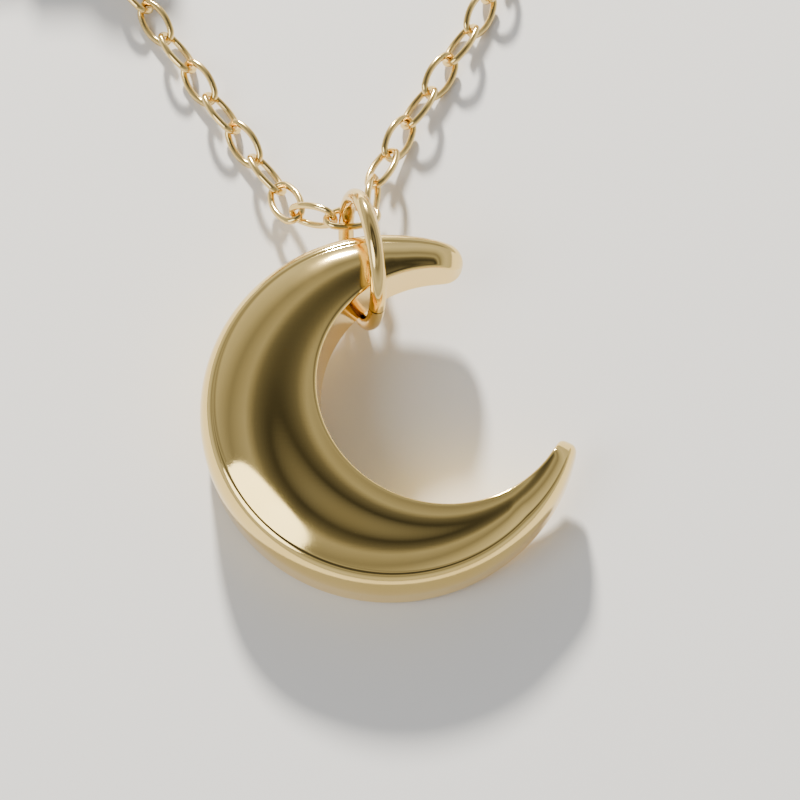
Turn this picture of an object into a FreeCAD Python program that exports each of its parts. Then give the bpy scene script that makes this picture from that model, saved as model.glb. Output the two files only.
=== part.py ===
import FreeCAD, Part
import math
import os
import Sketcher

# Crescent pendant necklace, laid out on a flat surface. Millimetres, +Z up, z = 0 is the surface.
# The crescent hangs in a round wire bail ring, the bail ring is threaded through the centre link
# of a cable chain, and each side of the chain ends in a small coil with one half of the clasp.

V = FreeCAD.Vector
UP = V(0, 0, 1)
doc = FreeCAD.newDocument("necklace")
sheet = doc.addObject("Spreadsheet::Sheet", "dims")

DIMS = {
    # where the crescent's outer circle stands on the surface, measured from the origin
    "crescent_x": 3.804,
    "crescent_y": -10.784,
    # crescent: two circles, a domed front and rounded horn ends
    "outer_radius": 9.95,
    "hollow_radius": 6.6,
    "hollow_offset": 3.05,
    "upper_horn_radius": 0.9,
    "lower_horn_radius": 0.5,
    "belly_height": 4.1,
    "dome_radius": 92.0,
    "rim_rounding": 0.45,
    "crescent_turn": 20.0,
    "crescent_tilt": 6.2,
    "tilt_heading": 73.0,
    # bail ring: round wire with a butted seam
    "bail_radius": 3.4,
    "bail_wire_radius": 0.425,
    "bail_arc": 359.0,
    "bail_x": 2.224,
    "bail_y": -2.5,
    "bail_z": 3.83,
    "bail_contact": 225.0,
    "contact_side": 0.33,
    "contact_lift": 0.06,
    # chain link: an oval of four tangent arcs
    "link_half_length": 1.42,
    "link_half_width": 0.76,
    "link_end_radius": 0.58,
    "link_wire_radius": 0.19,
    "link_gap": 0.06,
    # the stored length of each side: a run, then a coil of two turns with two more on top
    "cord_diameter": 1.9,
    "coil_outer_radius": 9.5,
    "coil_inner_radius": 5.7,
    "coil_height": 3.8,
    "left_coil_x": -15.8,
    "left_coil_y": 33.7,
    "right_coil_x": 14.6,
    "right_coil_y": 33.7,
    # clasp
    "end_ring_radius": 1.4,
    "end_ring_wire": 0.25,
    "catch_ring_radius": 1.9,
    "catch_ring_wire": 0.35,
    "claw_radius": 2.7,
    "claw_hollow_radius": 1.65,
    "claw_thickness": 1.8,
    "claw_reach": 6.3,
    "shank_width": 2.4,
    "lever_thickness": 0.8,
    "lever_gap": 0.06,
    "lever_radius": 2.25,
    "lever_hollow_radius": 1.55,
    "pin_radius": 0.3,
    "boss_radius": 0.7,
    "pin_back": 3.1,
    "pin_side": 0.35,
    "eye_radius": 0.65,
    "eye_wire": 0.22,
    "ring_height": 0.9,
}

for row, (alias, value) in enumerate(DIMS.items(), start=1):
    sheet.set("A%d" % row, alias)
    sheet.set("B%d" % row, str(value))
    sheet.setAlias("B%d" % row, alias)
doc.recompute()


def dim(alias):
    return float(sheet.get(alias))


def bind(obj, **expressions):
    """Binds each property of obj to an expression over the sheet's cells."""
    for prop, text in expressions.items():
        obj.setExpression(prop, text)


def direction(heading, slope=0.0):
    """A unit vector from a heading about +Z and a slope above the surface, in degrees."""
    level = math.cos(math.radians(slope))
    turn = math.radians(heading)
    return V(level * math.cos(turn), level * math.sin(turn), math.sin(math.radians(slope)))


def plane_of(body, role):
    return next(f for f in body.Origin.OriginFeatures if f.Role == role)


def new_sketch(body, name, role):
    sketch = body.newObject("Sketcher::SketchObject", name)
    sketch.AttachmentSupport = [(plane_of(body, role), "")]
    sketch.MapMode = "FlatFace"
    return sketch


def arc(centre, radius, start, end):
    return Part.ArcOfCircle(Part.Circle(centre, UP, radius), start, end)


def constrain(sketch, expression, *args):
    index = sketch.addConstraint(Sketcher.Constraint(*args))
    if expression:
        sketch.setExpression("Constraints[%d]" % index, expression)


def pad(body, sketch, length):
    feature = body.newObject("PartDesign::Pad", sketch.Name + "_pad")
    feature.Profile = sketch
    bind(feature, Length=length)
    return feature


# ---------------------------------------------------------------- crescent

def crescent_outline(sketch):
    """Outer arc, upper horn, hollow arc and lower horn, each tangent to the next."""
    outer, hollow, offset = dim("outer_radius"), dim("hollow_radius"), dim("hollow_offset")

    def horn_centre(radius, side):
        away = outer - radius
        x = (away ** 2 - (hollow + radius) ** 2 + offset ** 2) / (2 * offset)
        return V(x, side * math.sqrt(away ** 2 - x ** 2), 0)

    upper = horn_centre(dim("upper_horn_radius"), 1)
    lower = horn_centre(dim("lower_horn_radius"), -1)
    centre = V(offset, 0, 0)
    turn = 2 * math.pi
    up_out, low_out = math.atan2(upper.y, upper.x), math.atan2(lower.y, lower.x)
    up_in = math.atan2(upper.y, upper.x - offset)
    low_in = math.atan2(lower.y, lower.x - offset)
    sketch.addGeometry(arc(V(), outer, up_out, low_out + turn))
    sketch.addGeometry(arc(centre, hollow, up_in, low_in + turn))
    sketch.addGeometry(arc(upper, dim("upper_horn_radius"), up_in - math.pi, up_out))
    sketch.addGeometry(arc(lower, dim("lower_horn_radius"), low_out, low_in + math.pi))
    constrain(sketch, None, "Coincident", 0, 3, -1, 1)
    constrain(sketch, None, "PointOnObject", 1, 3, -1)
    constrain(sketch, "dims.hollow_offset", "DistanceX", -1, 1, 1, 3, offset)
    constrain(sketch, "dims.outer_radius", "Radius", 0, outer)
    constrain(sketch, "dims.hollow_radius", "Radius", 1, hollow)
    constrain(sketch, "dims.upper_horn_radius", "Radius", 2, dim("upper_horn_radius"))
    constrain(sketch, "dims.lower_horn_radius", "Radius", 3, dim("lower_horn_radius"))
    for one, end, other, other_end in ((0, 1, 2, 2), (2, 1, 1, 1), (1, 2, 3, 2), (3, 1, 0, 2)):
        constrain(sketch, None, "Tangent", one, end, other, other_end)


def crescent():
    """A thick cast crescent: flat back, upright walls, rounded rims and a domed front."""
    blank = doc.addObject("PartDesign::Body", "crescent_blank")
    outline = new_sketch(blank, "crescent_outline", "XY_Plane")
    crescent_outline(outline)
    pad(blank, outline, "dims.belly_height + 1")
    dome = doc.addObject("Part::Sphere", "crescent_dome")
    bind(dome, Radius="dims.dome_radius")
    bind(dome, **{
        "Placement.Base.x": "-(dims.outer_radius + dims.hollow_radius - dims.hollow_offset) / 2",
        "Placement.Base.z": "dims.belly_height - dims.dome_radius",
    })
    shaped = doc.addObject("Part::Common", "crescent_domed")
    shaped.Base = blank
    shaped.Tool = dome
    doc.recompute()
    rounded = doc.addObject("Part::Fillet", "crescent")
    rounded.Base = shaped
    radius = dim("rim_rounding")
    rounded.Edges = [
        (index, radius, radius)
        for index, edge in enumerate(shaped.Shape.Edges, start=1)
        if edge.BoundBox.ZMin > 1.0 or edge.BoundBox.ZMax < 0.1
    ]
    rounded.Label = "crescent"
    tilt_axis = direction(dim("tilt_heading") - 90)
    tilt = FreeCAD.Rotation(tilt_axis, dim("crescent_tilt"))
    turn = FreeCAD.Rotation(UP, dim("crescent_turn"))
    rise = dim("outer_radius") * math.sin(math.radians(dim("crescent_tilt")))
    base = V(dim("crescent_x"), dim("crescent_y"), rise)
    rounded.Placement = FreeCAD.Placement(base, tilt * turn)
    return rounded


# ---------------------------------------------------------------- bail ring

# The ring's plane: "down" runs along the floor and dips, "out" rises towards the front.
RING_DOWN = V(0.129, -0.894, -0.429).normalize()
RING_FRONT = V(0.232, -0.395, 0.889).normalize()
RING_AXIS = RING_DOWN.cross(RING_FRONT).normalize()
RING_OUT = RING_AXIS.cross(RING_DOWN).normalize()


def ring_point(angle, radius):
    """A point of the ring's plane: 0 degrees is its lower end, 90 its front."""
    turn = math.radians(angle)
    return ring_centre() + (RING_DOWN * math.cos(turn) + RING_OUT * math.sin(turn)) * radius


def ring_centre():
    return V(dim("bail_x"), dim("bail_y"), dim("bail_z"))


def bail_ring():
    """Round wire bent to a circle, with its two ends butted at a fine seam."""
    ring = doc.addObject("Part::Torus", "bail_ring")
    bind(ring, Radius1="dims.bail_radius", Radius2="dims.bail_wire_radius", Angle3="dims.bail_arc")
    ring.Label = "bail_ring"
    seam = ring_point(38, 1.0) - ring_centre()
    side = RING_AXIS.cross(seam)
    turn = FreeCAD.Rotation(seam, side, RING_AXIS, "ZXY")
    ring.Placement = FreeCAD.Placement(ring_centre(), turn)
    return ring


# ---------------------------------------------------------------- chain links

SIDE_RADIUS = (
    "((dims.link_half_length - dims.link_end_radius) ^ 2 + dims.link_half_width ^ 2"
    " - dims.link_end_radius ^ 2) / (2 * (dims.link_half_width - dims.link_end_radius))"
)


def oval_path(sketch):
    """The wire's centre line: two small end arcs and two large side arcs."""
    end = dim("link_end_radius")
    reach = dim("link_half_length") - end
    half = dim("link_half_width")
    side = (reach ** 2 + half ** 2 - end ** 2) / (2 * (half - end))
    lean = math.atan2(side - half, reach)
    sketch.addGeometry(arc(V(reach, 0, 0), end, -lean, lean))
    sketch.addGeometry(arc(V(0, half - side, 0), side, lean, math.pi - lean))
    sketch.addGeometry(arc(V(-reach, 0, 0), end, math.pi - lean, math.pi + lean))
    sketch.addGeometry(arc(V(0, side - half, 0), side, math.pi + lean, 2 * math.pi - lean))
    for index, sign in ((0, 1), (2, -1)):
        constrain(sketch, None, "PointOnObject", index, 3, -1)
        reach_text = "%d * (dims.link_half_length - dims.link_end_radius)" % sign
        constrain(sketch, reach_text, "DistanceX", -1, 1, index, 3, sign * reach)
        constrain(sketch, "dims.link_end_radius", "Radius", index, end)
    for index in (1, 3):
        constrain(sketch, SIDE_RADIUS, "Radius", index, side)
    for index in range(4):
        constrain(sketch, None, "Tangent", index, 2, (index + 1) % 4, 1)


def wire_section(sketch):
    """The round wire, centred on the middle of one long side."""
    half, radius = dim("link_half_width"), dim("link_wire_radius")
    sketch.addGeometry(Part.Circle(V(half, 0, 0), UP, radius))
    constrain(sketch, None, "PointOnObject", 0, 3, -1)
    constrain(sketch, "dims.link_half_width", "DistanceX", -1, 1, 0, 3, half)
    constrain(sketch, "dims.link_wire_radius", "Radius", 0, radius)


def link(label, centre, heading, slope, roll):
    """One soldered oval link. Roll turns its width from level towards upright."""
    body = doc.addObject("PartDesign::Body", label)
    path = new_sketch(body, label + "_path", "XY_Plane")
    oval_path(path)
    section = new_sketch(body, label + "_section", "YZ_Plane")
    wire_section(section)
    pipe = body.newObject("PartDesign::AdditivePipe", label + "_wire")
    pipe.Profile = section
    pipe.Spine = path
    body.Label = label
    along = direction(heading, slope)
    level = along.cross(UP).normalize()
    upright = level.cross(along)
    turn = math.radians(roll)
    across = level * math.cos(turn) + upright * math.sin(turn)
    frame = FreeCAD.Rotation(along, across, along.cross(across), "XYZ")
    body.Placement = FreeCAD.Placement(centre, frame)
    return body


# Heading, slope and roll of each link, from the centre link outwards.
LEFT_START = [(156.2, -29.9, 80.8), (115.8, -16.2, 17.2), (124, -2.6, -50.3)]
RIGHT_START = [(81.6, -19.6, -73.2), (69.6, -13.1, 36.1), (63, -5.9, -47.4)]
LEFT_STEADY = [123.2] * 7
RIGHT_STEADY = [60] * 3 + [64.5] * 3
STEADY_ROLL = 45
CENTRE_HEADING = 172

# Where on the centre link's end arc each side hangs, as a turn from its long axis.
LEFT_HANG, RIGHT_HANG = 36, 61


def centre_link():
    """The link that the bail ring passes through. Its width points away from the ring."""
    angle = dim("bail_contact")
    inside = ring_point(angle, dim("bail_radius"))
    outward = ring_point(angle, 1) - ring_centre()
    along = direction(CENTRE_HEADING)
    along = (along - outward * along.dot(outward)).normalize()
    centre = inside - along * dim("contact_side") + outward * dim("contact_lift")
    level = along.cross(UP).normalize()
    upright = level.cross(along)
    roll = math.degrees(math.atan2(outward.dot(upright), outward.dot(level)))
    heading = math.degrees(math.atan2(along.y, along.x))
    slope = math.degrees(math.asin(along.z))
    link("link_centre", centre, heading, slope, roll)
    return centre, along, outward


def hanging_point(centre, along, across, hang):
    """A point of the centre link's wire, on the end arc."""
    end = dim("link_end_radius")
    turn = math.radians(hang)
    reach = dim("link_half_length") - end
    return centre + along * (reach + end * math.cos(turn)) + across * (end * math.sin(turn))


def chain_side(side, pivot, start, steady):
    """Links one side of the chain, each hung in the end of the link before it."""
    half = dim("link_half_length")
    back = half - 2 * dim("link_wire_radius") - dim("link_gap")
    sign = 1 if start[-1][2] < 0 else -1
    rolls = [sign * STEADY_ROLL * (-1) ** index for index in range(len(steady))]
    steps = start + [(heading, 0, roll) for heading, roll in zip(steady, rolls)]
    for number, (heading, slope, roll) in enumerate(steps, start=1):
        step = direction(heading, slope)
        middle = pivot + step * back
        link("link_%s_%02d" % (side, number), middle, heading, slope, roll)
        print("pivot", side, "%02d" % number, "%.4f %.4f %.4f" % (pivot.x, pivot.y, pivot.z))
        pivot = middle + step * half
    print("pivot", side, "end", "%.4f %.4f %.4f" % (pivot.x, pivot.y, pivot.z))
    return pivot


# ---------------------------------------------------------------- stored length

def coil(side):
    """The outer shape of a coil: two turns of chain on the surface and two on top."""
    body = doc.addObject("PartDesign::Body", "chain_%s_coil" % side)
    rings = new_sketch(body, "coil_%s_rings" % side, "XY_Plane")
    for index, name in enumerate(("coil_outer_radius", "coil_inner_radius")):
        rings.addGeometry(Part.Circle(V(), UP, dim(name)))
        constrain(rings, None, "Coincident", index, 3, -1, 1)
        constrain(rings, "dims." + name, "Radius", index, dim(name))
    pad(body, rings, "dims.coil_height")
    body.Label = "chain_%s_coil" % side
    centre = V(dim("%s_coil_x" % side), dim("%s_coil_y" % side), 0)
    body.Placement = FreeCAD.Placement(centre, FreeCAD.Rotation())
    return body


def rounded_path(points):
    """Straight runs joined by tangent arcs, each as large as its two runs allow."""
    edges, radii = [], []
    start = points[0]
    for before, corner, after in zip(points, points[1:], points[2:]):
        back, ahead = (before - corner), (after - corner)
        shorter = min(back.Length, ahead.Length)
        inward, onward = V(back).normalize(), V(ahead).normalize()
        turn = math.pi - inward.getAngle(onward)
        cut = 0.45 * shorter
        radii.append(cut / math.tan(turn / 2))
        first, last = corner + inward * cut, corner + onward * cut
        bisector = (inward + onward).normalize()
        depth = math.hypot(radii[-1], cut) - radii[-1]
        edges.append(Part.LineSegment(start, first).toShape())
        edges.append(Part.Arc(first, corner + bisector * depth, last).toShape())
        start = last
    edges.append(Part.LineSegment(start, points[-1]).toShape())
    return Part.Wire(edges), radii


def run(side, points):
    """The short stretch of chain between the last hinged link and the coil."""
    wire, radii = rounded_path(points)
    radius = dim("cord_diameter") / 2
    begin = (points[1] - points[0]).normalize()
    profile = Part.Wire(Part.Circle(points[0], begin, radius).toShape())
    solid = wire.makePipeShell([profile], True, False)
    expected = math.pi * radius ** 2 * wire.Length
    print("run", side, "radii", [round(r, 2) for r in radii], "length %.2f" % wire.Length,
          "volume / section x length %.4f" % (solid.Volume / expected))
    feature = doc.addObject("Part::Feature", "chain_%s_run" % side)
    feature.Shape = solid
    feature.Label = "chain_%s_run" % side
    feature.Placement = FreeCAD.Placement()
    return feature


# Headings of each run's straights and the angle at which it meets its coil.
LEFT_RUN = {"headings": [127, 136, 145], "meets": 240}
RIGHT_RUN = {"headings": [58, 46, 34, 22], "meets": 285}


def run_points(side, pivot, headings, meets):
    """Corners from just past the last link to the middle of the coil's outer turn."""
    height = dim("cord_diameter") / 2
    start = V(pivot.x, pivot.y, height) + direction(headings[0]) * 0.55
    turn = math.radians(meets)
    reach = dim("coil_outer_radius") - height
    finish = V(dim(side + "_coil_x"), dim(side + "_coil_y"), height)
    finish += V(math.cos(turn), math.sin(turn), 0) * reach
    points = [start]
    for heading in headings:
        points.append(points[-1] + direction(heading))
    span, wanted = points[-1] - start, finish - start
    scale = wanted.Length / span.Length
    swing = math.atan2(wanted.y, wanted.x) - math.atan2(span.y, span.x)
    turned = FreeCAD.Rotation(UP, math.degrees(swing))
    return [start + turned.multVec(point - start) * scale for point in points]


# ---------------------------------------------------------------- clasp

def end_ring(name, radius, wire, centre):
    """A small jump ring that lies level."""
    ring = doc.addObject("Part::Torus", name)
    bind(ring, Radius1="dims." + radius, Radius2="dims." + wire)
    ring.Label = name
    ring.Placement = FreeCAD.Placement(centre, FreeCAD.Rotation())
    return ring


def cylinder(name, radius, height, x="0", y="0", z="0"):
    shape = doc.addObject("Part::Cylinder", name)
    bind(shape, Radius=radius, Height=height)
    bind(shape, **{"Placement.Base.x": x, "Placement.Base.y": y, "Placement.Base.z": z})
    return shape


def box(name, length, width, height, x="0", y="0", z="0"):
    shape = doc.addObject("Part::Box", name)
    bind(shape, Length=length, Width=width, Height=height)
    bind(shape, **{"Placement.Base.x": x, "Placement.Base.y": y, "Placement.Base.z": z})
    return shape


def fused(name, *shapes):
    result = doc.addObject("Part::MultiFuse", name)
    result.Shapes = list(shapes)
    return result


def cut(name, base, tool):
    result = doc.addObject("Part::Cut", name)
    result.Base = base
    result.Tool = tool
    return result


PIN_X, PIN_Y = "-dims.pin_back", "dims.pin_side"


def claw_body(place):
    """The cast claw: a hook, a slotted shank for the lever, and an eye at the tail."""
    disc = cylinder("claw_disc", "dims.claw_radius", "dims.claw_thickness")
    shank = box("claw_shank", "dims.claw_reach - dims.eye_radius - 1.2", "dims.shank_width",
                "dims.claw_thickness", "-(dims.claw_reach - dims.eye_radius)", "-dims.shank_width / 2")
    eye = doc.addObject("Part::Torus", "claw_eye")
    bind(eye, Radius1="dims.eye_radius", Radius2="dims.eye_wire")
    eye.Placement = FreeCAD.Placement(V(), FreeCAD.Rotation(V(1, 0, 0), 90))
    bind(eye, **{"Placement.Base.x": "-dims.claw_reach", "Placement.Base.z": "dims.ring_height"})
    solid = fused("claw_solid", disc, shank, eye)
    hollow = cylinder("claw_hollow", "dims.claw_hollow_radius", "dims.claw_thickness + 2",
                      z="-1")
    mouth = box("claw_mouth", "dims.claw_radius + 2.4", "dims.claw_radius + 1",
                "dims.claw_thickness + 2", "-1.3", "0.35", "-1")
    slot = box("claw_slot", "3.9", "3", "dims.lever_thickness + 2 * dims.lever_gap", "-4.6",
               "-0.55", "(dims.claw_thickness - dims.lever_thickness) / 2 - dims.lever_gap")
    bore = cylinder("claw_bore", "dims.pin_radius", "dims.claw_thickness + 2", PIN_X, PIN_Y, "-1")
    body = cut("clasp_body", solid, fused("claw_openings", hollow, mouth, slot, bore))
    body.Label = "clasp_body"
    body.Placement = place
    return body


def claw_lever(place):
    """The lever: an arm that closes the hook's mouth, a boss round the pin and a thumb tab."""
    gap_z = "(dims.claw_thickness - dims.lever_thickness) / 2"
    below = gap_z + " - 1"
    outer = cylinder("lever_outer", "dims.lever_radius", "dims.lever_thickness", "-0.7", "0.2", gap_z)
    inner = cylinder("lever_inner", "dims.lever_hollow_radius", "dims.lever_thickness + 2",
                     "-0.7", "0.2", below)
    lower = box("lever_lower", "8", "4", "dims.lever_thickness + 2", "-4", "-3.85", below)
    arm = cut("lever_arm", outer, fused("lever_waste", inner, lower))
    boss = cylinder("lever_boss", "dims.boss_radius", "dims.lever_thickness", PIN_X, PIN_Y, gap_z)
    bridge = box("lever_bridge", "0.8", "0.7", "dims.lever_thickness", PIN_X, PIN_Y, gap_z)
    tab = cylinder("lever_tab", "0.55", "dims.lever_thickness", "-2.35", "1.95", gap_z)
    whole = fused("lever_whole", arm, boss, bridge, tab)
    bore = cylinder("lever_bore", "dims.pin_radius + 0.03", "dims.lever_thickness + 2", PIN_X,
                    PIN_Y, gap_z + " - 1")
    lever = cut("clasp_lever", whole, bore)
    lever.Label = "clasp_lever"
    lever.Placement = place
    return lever


def claw_pin(place):
    """The rivet that the lever turns on."""
    pin = doc.addObject("Part::Cylinder", "clasp_pin")
    bind(pin, Radius="dims.pin_radius", Height="dims.claw_thickness")
    pin.Label = "clasp_pin"
    local = V(-dim("pin_back"), dim("pin_side"), 0)
    pin.Placement = FreeCAD.Placement(place.multVec(local), place.Rotation)
    return pin


def claw_spring(place):
    """A flat spring that lies in the slot behind the boss and pushes the lever shut."""
    spring = doc.addObject("Part::Box", "clasp_spring")
    bind(spring, Length="0.12", Width="1.4", Height="dims.lever_thickness * 0.75")
    spring.Label = "clasp_spring"
    local = V(-4.1, -0.55, dim("claw_thickness") / 2 - dim("lever_thickness") * 0.375)
    spring.Placement = FreeCAD.Placement(place.multVec(local), place.Rotation)
    return spring


# ---------------------------------------------------------------- build

crescent()
bail_ring()
middle, along, across = centre_link()
left_pivot = hanging_point(middle, along, across, LEFT_HANG)
right_pivot = hanging_point(middle, along * -1, across, RIGHT_HANG)
left_end = chain_side("left", left_pivot, LEFT_START, LEFT_STEADY)
right_end = chain_side("right", right_pivot, RIGHT_START, RIGHT_STEADY)
for side, pivot, route in (("left", left_end, LEFT_RUN), ("right", right_end, RIGHT_RUN)):
    coil(side)
    run(side, run_points(side, pivot, route["headings"], route["meets"]))

left_coil = V(dim("left_coil_x"), dim("left_coil_y"), 0)
right_coil = V(dim("right_coil_x"), dim("right_coil_y"), 0)
on_coil = dim("coil_height") + 0.05
clasp_level = V(-4.7, -5.6, on_coil + dim("ring_height"))
catch_level = V(-7.2, 0, on_coil + dim("catch_ring_wire"))
end_ring("clasp_ring", "end_ring_radius", "end_ring_wire", left_coil + clasp_level)
end_ring("catch_ring", "catch_ring_radius", "catch_ring_wire", right_coil + catch_level)
claw_place = FreeCAD.Placement(left_coil + V(3, -5.6, on_coil), FreeCAD.Rotation())
claw_body(claw_place)
claw_lever(claw_place)
claw_pin(claw_place)
claw_spring(claw_place)
doc.recompute()

NODES = (
    ["crescent", "bail_ring", "link_centre"]
    + ["link_left_%02d" % n for n in range(1, len(LEFT_START) + len(LEFT_STEADY) + 1)]
    + ["link_right_%02d" % n for n in range(1, len(RIGHT_START) + len(RIGHT_STEADY) + 1)]
    + ["chain_%s_%s" % (side, piece) for side in ("left", "right") for piece in ("run", "coil")]
    + ["clasp_ring", "clasp_body", "clasp_lever", "clasp_pin", "clasp_spring", "catch_ring"]
)

failed = [obj.Name for obj in doc.Objects if {"Invalid", "Error"} & set(obj.State)]
if failed:
    raise SystemExit("failed objects: %s" % failed)
shapes = {}
for name in NODES:
    shape = doc.getObjectsByLabel(name)[0].Shape
    if shape.isNull() or not shape.isValid():
        raise SystemExit("bad shape: %s" % name)
    shapes[name] = shape

os.makedirs("parts", exist_ok=True)
for name, shape in shapes.items():
    shape.exportStep("parts/%s.step" % name)
print("wrote", len(shapes), "nodes")
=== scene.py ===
import bpy
import math
from mathutils import Matrix, Vector


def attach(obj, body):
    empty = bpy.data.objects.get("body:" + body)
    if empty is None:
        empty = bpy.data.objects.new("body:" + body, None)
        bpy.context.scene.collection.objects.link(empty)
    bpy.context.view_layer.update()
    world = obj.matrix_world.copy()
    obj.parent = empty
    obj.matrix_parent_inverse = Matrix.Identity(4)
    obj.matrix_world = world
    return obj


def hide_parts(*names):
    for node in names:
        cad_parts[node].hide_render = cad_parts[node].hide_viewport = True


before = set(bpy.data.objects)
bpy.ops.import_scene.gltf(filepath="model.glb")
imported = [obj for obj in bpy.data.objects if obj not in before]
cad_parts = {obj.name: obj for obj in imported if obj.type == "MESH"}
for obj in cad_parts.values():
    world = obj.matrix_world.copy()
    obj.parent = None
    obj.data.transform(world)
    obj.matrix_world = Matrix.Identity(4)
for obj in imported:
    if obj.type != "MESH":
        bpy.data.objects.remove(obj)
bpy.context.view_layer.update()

# ---- camera -------------------------------------------------------------------------------
# Not a piece of the necklace: the eye that looks down on the crescent from the pendant's side,
# 65 degrees above the surface and 135 mm away.
MM = 0.001
ELEVATION = math.radians(65)
EYE_DISTANCE = 135 * MM


def spot(x, y, z=0.0):
    """A place given in millimetres, in metres."""
    return Vector((x, y, z)) * MM


camera_data = bpy.data.cameras.new("camera")
camera = bpy.data.objects.new("camera", camera_data)
bpy.context.scene.collection.objects.link(camera)
away = Vector((0, -math.cos(ELEVATION), math.sin(ELEVATION)))
camera.location = spot(4.264, -9.684, 1.5) + away * EYE_DISTANCE
camera.rotation_euler = (-away).to_track_quat("-Z", "Y").to_euler()
camera_data.lens = 114.6
camera_data.sensor_width = 36
camera_data.clip_start = 0.005
bpy.context.scene.camera = camera


# ---- gold ---------------------------------------------------------------------------------
# Every piece is polished yellow gold. All of them share fine scratches, faint waves left by
# hand polishing, and a thin duller film that lies in patches.
def wear_group():
    """Scratches and waves as a normal, and the film as a mask."""
    group = bpy.data.node_groups.new("gold_wear", "ShaderNodeTree")
    for name, way, kind in (
        ("Depth", "INPUT", "Float"), ("Vector", "INPUT", "Vector"),
        ("Film", "OUTPUT", "Float"), ("Normal", "OUTPUT", "Vector"),
    ):
        group.interface.new_socket(name=name, in_out=way, socket_type="NodeSocket" + kind)
    nodes, links = group.nodes, group.links
    inputs, outputs = nodes.new("NodeGroupInput"), nodes.new("NodeGroupOutput")

    def noise(scale, detail, stretch=(1, 1, 1)):
        mapping = nodes.new("ShaderNodeMapping")
        mapping.inputs["Scale"].default_value = stretch
        texture = nodes.new("ShaderNodeTexNoise")
        texture.inputs["Scale"].default_value = scale
        texture.inputs["Detail"].default_value = detail
        links.new(inputs.outputs["Vector"], mapping.inputs["Vector"])
        links.new(mapping.outputs[0], texture.inputs["Vector"])
        return texture.outputs["Fac"]

    scratches = nodes.new("ShaderNodeMath")
    scratches.operation = "ADD"
    links.new(noise(900, 3, (1, 14, 6)), scratches.inputs[0])
    links.new(noise(700, 3, (11, 1.4, 5)), scratches.inputs[1])
    fine = nodes.new("ShaderNodeBump")
    fine.inputs["Strength"].default_value = 0.05
    fine.inputs["Distance"].default_value = 0.01 * MM
    links.new(scratches.outputs[0], fine.inputs["Height"])
    broad = nodes.new("ShaderNodeBump")
    broad.inputs["Distance"].default_value = 0.04 * MM
    links.new(noise(170, 1), broad.inputs["Height"])
    links.new(inputs.outputs["Depth"], broad.inputs["Strength"])
    links.new(fine.outputs["Normal"], broad.inputs["Normal"])
    links.new(noise(260, 4), outputs.inputs["Film"])
    links.new(broad.outputs["Normal"], outputs.inputs["Normal"])
    return group


WEAR = wear_group()
FILM_DULLING = 0.09


def gold(name, light, deep, shine, depth):
    """Polished gold: light and deep tones mixed by the film, roughness from shine upwards."""
    material = bpy.data.materials.new(name)
    material.use_nodes = True
    nodes, links = material.node_tree.nodes, material.node_tree.links
    shader = nodes["Principled BSDF"]
    shader.inputs["Metallic"].default_value = 1.0
    coords = nodes.new("ShaderNodeTexCoord")
    wear = nodes.new("ShaderNodeGroup")
    wear.node_tree = WEAR
    wear.inputs["Depth"].default_value = depth
    tone = nodes.new("ShaderNodeMix")
    tone.data_type = "RGBA"
    tone.inputs["A"].default_value = (*light, 1)
    tone.inputs["B"].default_value = (*deep, 1)
    rough = nodes.new("ShaderNodeMapRange")
    for socket, value in (
        ("From Min", 0.3), ("From Max", 0.75), ("To Min", shine), ("To Max", shine + FILM_DULLING),
    ):
        rough.inputs[socket].default_value = value
    links.new(coords.outputs["Object"], wear.inputs["Vector"])
    links.new(wear.outputs["Film"], tone.inputs["Factor"])
    links.new(wear.outputs["Film"], rough.inputs["Value"])
    links.new(tone.outputs["Result"], shader.inputs["Base Color"])
    links.new(rough.outputs["Result"], shader.inputs["Roughness"])
    links.new(wear.outputs["Normal"], shader.inputs["Normal"])
    return material


GOLD_PENDANT = gold("gold_pendant", (0.98, 0.74, 0.28), (0.90, 0.64, 0.20), 0.05, 0.14)
GOLD_FINDINGS = gold("gold_findings", (0.96, 0.71, 0.27), (0.86, 0.60, 0.20), 0.07, 0.10)
GOLD_CHAIN = gold("gold_chain", (0.93, 0.70, 0.28), (0.80, 0.56, 0.19), 0.10, 0.06)


# ---- stored chain -------------------------------------------------------------------------
# The rest of the fine cable chain on each side: oval links of soldered gold wire, each turned a
# quarter from the one before. It runs from the last hinged link into a coil, two turns on the
# surface and nearly two on top, and ends in a short tail to the clasp or the catch ring.
LINK_HALF_LENGTH, LINK_HALF_WIDTH, LINK_WIRE = 1.42, 0.76, 0.19
LINK_STRAIGHT = 0.25
LINK_PITCH = 2.4
LINK_ROLL = 45
CORD_DIAMETER = 1.9
COIL_OUTER, COIL_INNER = 8.55, 6.65
POINTS_PER_TURN = 14


def polar(degrees):
    return Vector((math.cos(math.radians(degrees)), math.sin(math.radians(degrees)), 0))


def deselect():
    if bpy.context.object and bpy.context.object.mode != "OBJECT":
        bpy.ops.object.mode_set(mode="OBJECT")
    bpy.ops.object.select_all(action="DESELECT")


def eased(value, start, end):
    """Climbs smoothly from 0 at start to 1 at end."""
    part = max(0.0, min(1.0, (value - start) / (end - start)))
    return part * part * (3 - 2 * part)


def coil_points(centre, meets, wound, turns):
    """Points round the coil: an outer turn, an inner one, then up and back out on top."""
    for step in range(1, int(POINTS_PER_TURN * turns) + 1):
        turn = step / POINTS_PER_TURN
        inwards = eased(turn, 0.85, 1.1) - eased(turn, 2.85, 3.1)
        radius = COIL_OUTER - (COIL_OUTER - COIL_INNER) * inwards
        height = CORD_DIAMETER * (0.5 + eased(turn, 1.85, 2.15))
        yield centre + polar(meets + wound * 360 * turn) * radius * MM + spot(0, 0, height)


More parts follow.
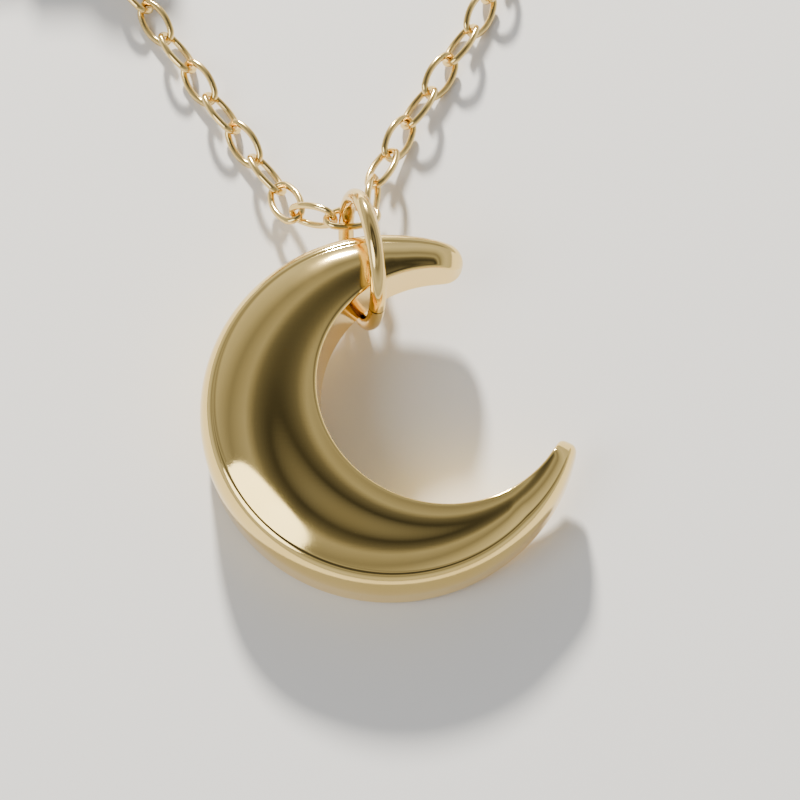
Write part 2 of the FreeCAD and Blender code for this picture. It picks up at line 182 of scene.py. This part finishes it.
def route_line(name, points):
    """The points of a smooth spline through the stored length's route."""
    curve = bpy.data.curves.new(name, "CURVE")
    curve.dimensions = "3D"
    spline = curve.splines.new("NURBS")
    spline.points.add(len(points) - 1)
    for target, point in zip(spline.points, points):
        target.co = (*point, 1)
    spline.order_u = 3
    spline.use_endpoint_u = True
    spline.resolution_u = 8
    guide = bpy.data.objects.new(name, curve)
    bpy.context.scene.collection.objects.link(guide)
    bpy.context.view_layer.update()
    mesh = bpy.data.meshes.new_from_object(guide)
    line = [v.co.copy() for v in mesh.vertices]
    bpy.data.meshes.remove(mesh)
    bpy.data.objects.remove(guide)
    bpy.data.curves.remove(curve)
    return line


def along(line, step):
    """Points and directions at equal steps along a line, and the line's length."""
    found, walked, due = [], 0.0, step / 2
    for a, b in zip(line, line[1:]):
        gap = (b - a).length
        while gap > 0 and walked + gap >= due:
            found.append((a.lerp(b, (due - walked) / gap), (b - a).normalized()))
            due += step
        walked += gap
    return found, walked


def stock_link():
    """One oval link: a ring whose two halves are drawn apart."""
    deselect()
    bpy.ops.mesh.primitive_torus_add(
        major_segments=24, minor_segments=8,
        major_radius=LINK_HALF_WIDTH * MM, minor_radius=LINK_WIRE * MM,
    )
    link = bpy.context.object
    reach = (LINK_HALF_LENGTH - LINK_HALF_WIDTH) * MM
    for vertex in link.data.vertices:
        vertex.co.x += reach * max(-1.0, min(1.0, vertex.co.x / (LINK_STRAIGHT * MM)))
    return link


def laid_link(link, place, heading, roll):
    """A copy of the stock link, turned along its heading and rolled about it."""
    side_way = heading.cross(Vector((0, 0, 1))).normalized()
    up = side_way.cross(heading)
    across = side_way * math.cos(roll) + up * math.sin(roll)
    axes = Matrix((heading, across, heading.cross(across))).transposed().to_4x4()
    copy = link.copy()
    copy.data = link.data.copy()
    copy.data.transform(Matrix.Translation(place) @ axes)
    bpy.context.scene.collection.objects.link(copy)
    return copy


def stored_chain(side, start, headings, step_length, coil_at, meets, wound, turns, tail):
    """Lays links along one side's route, joins them into one piece and hangs it on that side's end
    in place of the CAD run and coil.
    """
    centre = spot(*coil_at)
    points = [spot(*start, CORD_DIAMETER / 2)]
    for heading in headings:
        points.append(points[-1] + polar(heading) * step_length * MM)
    points += coil_points(centre, meets, wound, turns)
    points += [centre + spot(*place) for place in tail]
    line = route_line("route_" + side, points)
    spots, length = along(line, LINK_PITCH * MM)
    link = stock_link()
    laid = [
        laid_link(link, place, heading, math.radians(LINK_ROLL if index % 2 else -LINK_ROLL))
        for index, (place, heading) in enumerate(spots)
    ]
    bpy.data.objects.remove(link)
    deselect()
    for piece in laid:
        piece.select_set(True)
    bpy.context.view_layer.objects.active = laid[0]
    bpy.ops.object.join()
    chain = bpy.context.object
    chain.name = "stored_chain_" + side
    bpy.ops.object.shade_smooth()
    chain.data.materials.append(GOLD_CHAIN)
    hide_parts("chain_%s_run" % side, "chain_%s_coil" % side)
    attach(chain, side + "_end")


stored_chain(
    "left", (-13.476, 20.284), (127, 136, 145), 2.97, (-15.8, 33.7), 240, -1, 3.93,
    [(-4.6, -7.6, 3.3), (-5.9, -6.4, 4.3)])
stored_chain(
    "right", (11.833, 21.19), (58, 46, 34, 22), 1.6, (14.6, 33.7), 285, 1, 3.6,
    [(-4.9, 3.9, 3.2), (-4.0, 1.6, 4.0)])


# ---- crescent -----------------------------------------------------------------------------
# A puffed crescent cast in gold, which hangs with one arm through the bail ring: upright inner
# wall with a crisp rim, crowned front and rolled outer rim. It is made from a ball whose poles
# are the two horn tips and whose rings are its cross sections.
OUTER, HOLLOW, OFFSET = 9.95, 6.6, 3.05
UPPER_HORN, LOWER_HORN = 0.9, 0.5
BELLY, DOME = 4.1, 92.0
CRESCENT_X, CRESCENT_Y = 3.804, -10.784
CRESCENT_TURN, CRESCENT_TILT, TILT_HEADING = 20, 6.2, 73 - 90
MID_HEIGHT = 0.4
TIP_REACH = 1.5
RIM_DROP = 0.3
HOLLOW_AT = Vector((OFFSET, 0, 0))


def horn(radius, side):
    """The middle of a horn's round end."""
    away_from = OUTER - radius
    x = (away_from ** 2 - (HOLLOW + radius) ** 2 + OFFSET ** 2) / (2 * OFFSET)
    return Vector((x, side * math.sqrt(away_from ** 2 - x ** 2), 0))


def angle(v):
    return math.degrees(math.atan2(v.y, v.x))


def horn_cap(centre, radius, upper, count):
    """Sections round a horn's end, from its tip inwards, and the tip itself."""
    inner = angle(centre - HOLLOW_AT) + 180
    outer = angle(centre)
    gap = (outer - inner) % 360 if upper else -((inner - outer) % 360)
    tip = centre + polar(inner + gap / 2) * radius
    cap = []
    for step in range(count, 0, -1):
        turned = gap / 2 * math.sin(math.pi / 2 * step / (count + 0.35))
        one = centre + polar(inner + turned) * radius
        two = centre + polar(outer - turned) * radius
        cap.append((one, two, (tip - (one + two) / 2).length))
    return cap, tip


def stations(count, cap_count):
    """(inner point, outer point, distance from the tip) of each section, horn to horn."""
    upper, lower = horn(UPPER_HORN, 1), horn(LOWER_HORN, -1)
    upper_cap, upper_tip = horn_cap(upper, UPPER_HORN, True, cap_count)
    lower_cap, lower_tip = horn_cap(lower, LOWER_HORN, False, cap_count)
    out_a, out_b = angle(upper), angle(lower) + 360
    in_a, in_b = angle(upper - HOLLOW_AT), angle(lower - HOLLOW_AT) + 360
    body = []
    for step in range(count):
        part = step / (count - 1)
        inner = HOLLOW_AT + polar(in_a + (in_b - in_a) * part) * HOLLOW
        outer = polar(out_a + (out_b - out_a) * part) * OUTER
        middle = (inner + outer) / 2
        body.append((inner, outer, min((middle - upper_tip).length, (middle - lower_tip).length)))
    return upper_cap + body + lower_cap[::-1], upper_tip, lower_tip


def height_at(point):
    """The dome over the belly."""
    middle = Vector((-(OUTER + HOLLOW - OFFSET) / 2, 0, 0))
    flat = (Vector((point.x, point.y, 0)) - middle).length
    return BELLY - DOME + math.sqrt(DOME ** 2 - flat ** 2)


def section(width, top, tip, count):
    """(across, height) pairs round one section, from 0 at the inner wall to width outside."""
    near = min(tip, TIP_REACH) / TIP_REACH
    shrink = math.sqrt(1 - (1 - near) ** 2)
    middle = top * MID_HEIGHT
    crown = 0.085 * width * min(1.0, width / 3)
    edge, foot = min(0.16, width * 0.2), min(0.45, width * 0.3)
    rim_w, rim_h = min(0.9, width * 0.34), min(1.9, top * 0.45)
    rim_top = top - RIM_DROP
    wall_top = rim_top - rim_h

    def rise(t):
        return math.sin(math.pi / 2 * t)

    def fall(t):
        return 1 - math.cos(math.pi / 2 * t)

    legs = (
        (0.18, lambda t: (0.0, foot + (top - edge - foot) * t)),
        (0.24, lambda t: (edge * fall(t), top - edge * (1 - rise(t)))),
        (0.52, lambda t: (edge + (width - edge - rim_w) * t,
                          top + crown * 4 * t * (1 - t) - RIM_DROP * t)),
        (0.72, lambda t: (width - rim_w * (1 - rise(t)), rim_top - rim_h * fall(t))),
        (0.80, lambda t: (width, wall_top - (wall_top - foot) * t)),
        (0.87, lambda t: (width - foot * fall(t), foot * (1 - rise(t)))),
        (0.94, lambda t: (width - foot - (width - 2 * foot) * t, 0.0)),
        (1.00, lambda t: (foot * (1 - rise(t)), foot * fall(t))),
    )
    pairs = []
    for step in range(count):
        part, begun = step / count, 0.0
        for ended, shape in legs:
            if part < ended:
                s, z = shape((part - begun) / (ended - begun))
                pairs.append((s, middle + (z - middle) * shrink))
                break
            begun = ended
    return pairs


around, along_count, cap_count = 160, 230, 10
deselect()
bpy.ops.mesh.primitive_uv_sphere_add(
    segments=around, ring_count=along_count + 2 * cap_count + 1, radius=1)
crescent = bpy.context.object
crescent.name = "crescent_casting"
rings = {}
for vertex in crescent.data.vertices:
    rings.setdefault(round(vertex.co.z, 7), []).append(vertex)
levels = sorted(rings, reverse=True)
tilt = math.radians(CRESCENT_TILT)
place = (
    Matrix.Translation(Vector((CRESCENT_X, CRESCENT_Y, OUTER * math.sin(tilt))))
    @ Matrix.Rotation(tilt, 4, polar(TILT_HEADING))
    @ Matrix.Rotation(math.radians(CRESCENT_TURN), 4, "Z")
)
found, upper_tip, lower_tip = stations(along_count, cap_count)
for level, tip in ((levels[0], upper_tip), (levels[-1], lower_tip)):
    rings[level][0].co = place @ Vector((tip.x, tip.y, height_at(tip) * MID_HEIGHT)) * MM
for level, (inner, outer, tip) in zip(levels[1:-1], found):
    ring = sorted(rings[level], key=lambda v: math.atan2(v.co.y, v.co.x))
    width = (outer - inner).length
    across = (outer - inner).normalized()
    for vertex, (s, z) in zip(ring, section(width, height_at((inner + outer) / 2), tip, around)):
        flat = inner + across * s
        vertex.co = place @ Vector((flat.x, flat.y, z)) * MM
crescent.data.update()
deselect()
crescent.select_set(True)
bpy.context.view_layer.objects.active = crescent
bpy.ops.object.mode_set(mode="EDIT")
bpy.ops.mesh.select_all(action="SELECT")
bpy.ops.mesh.normals_make_consistent(inside=False)
bpy.ops.object.mode_set(mode="OBJECT")
bpy.ops.object.shade_smooth_by_angle(angle=math.radians(30))
crescent.data.materials.append(GOLD_PENDANT)
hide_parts("crescent")
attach(crescent, "pendant")


# ---- hinged links, bail ring and clasp ----------------------------------------------------
# The soldered links that hang in each other, the round wire bail ring threaded through the
# centre link, and the clasp and catch ring at the chain's ends. All keep their CAD shape.
for name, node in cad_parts.items():
    if name.startswith("chain") or name == "crescent":
        continue
    node.data.materials.clear()
    node.data.materials.append(GOLD_CHAIN if name.startswith("link") else GOLD_FINDINGS)


# ---- floor and light ----------------------------------------------------------------------
# Not pieces of the necklace: a plain pale surface, a low warm key from behind the chain, a weak
# cool fill, and a soft banded sky for the gold to reflect.
deselect()
bpy.ops.mesh.primitive_plane_add(size=1.2)
floor = bpy.context.object
floor.name = "floor"
paper = bpy.data.materials.new("floor_paper")
paper.use_nodes = True
paper_shader = paper.node_tree.nodes["Principled BSDF"]
paper_shader.inputs["Base Color"].default_value = (0.86, 0.85, 0.83, 1)
paper_shader.inputs["Roughness"].default_value = 0.75
floor.data.materials.append(paper)
LIT_SPOT = Vector((0.004, -0.005, 0.0))


def lamp(name, place, size, power, tint):
    """A round soft lamp turned towards the necklace."""
    data = bpy.data.lights.new(name, "AREA")
    data.shape = "DISK"
    data.size = size
    data.energy = power
    data.color = tint
    light = bpy.data.objects.new(name, data)
    light.location = place
    light.rotation_euler = (LIT_SPOT - Vector(place)).to_track_quat("-Z", "Y").to_euler()
    bpy.context.scene.collection.objects.link(light)


lamp("key", (-0.10, 0.64, 0.30), 0.07, 17.0, (1.0, 0.95, 0.86))
lamp("fill", (-0.45, -0.25, 0.5), 0.45, 2.2, (0.95, 0.97, 1.0))

world = bpy.data.worlds.new("studio")
bpy.context.scene.world = world
world.use_nodes = True
sky_nodes, sky_links = world.node_tree.nodes, world.node_tree.links
sky_coords = sky_nodes.new("ShaderNodeTexCoord")
split = sky_nodes.new("ShaderNodeSeparateXYZ")
ramp = sky_nodes.new("ShaderNodeValToRGB")
SKY_BANDS = (
    (0.0, 0.8), (0.3, 1.0), (0.55, 0.7), (0.7, 0.35),
    (0.84, 0.6), (0.9, 0.2), (0.96, 0.06), (1.0, 0.3),
)
bands = ramp.color_ramp.elements
for band, (position, value) in ((bands[0], SKY_BANDS[0]), (bands[1], SKY_BANDS[-1])):
    band.position = position
    band.color = (value, value, value, 1)
for position, value in SKY_BANDS[1:-1]:
    bands.new(position).color = (value, value, value, 1)
sky_links.new(sky_coords.outputs["Generated"], split.inputs[0])
sky_links.new(split.outputs["Z"], ramp.inputs["Fac"])
sky_links.new(ramp.outputs["Color"], sky_nodes["Background"].inputs["Color"])
sky_nodes["Background"].inputs["Strength"].default_value = 0.8
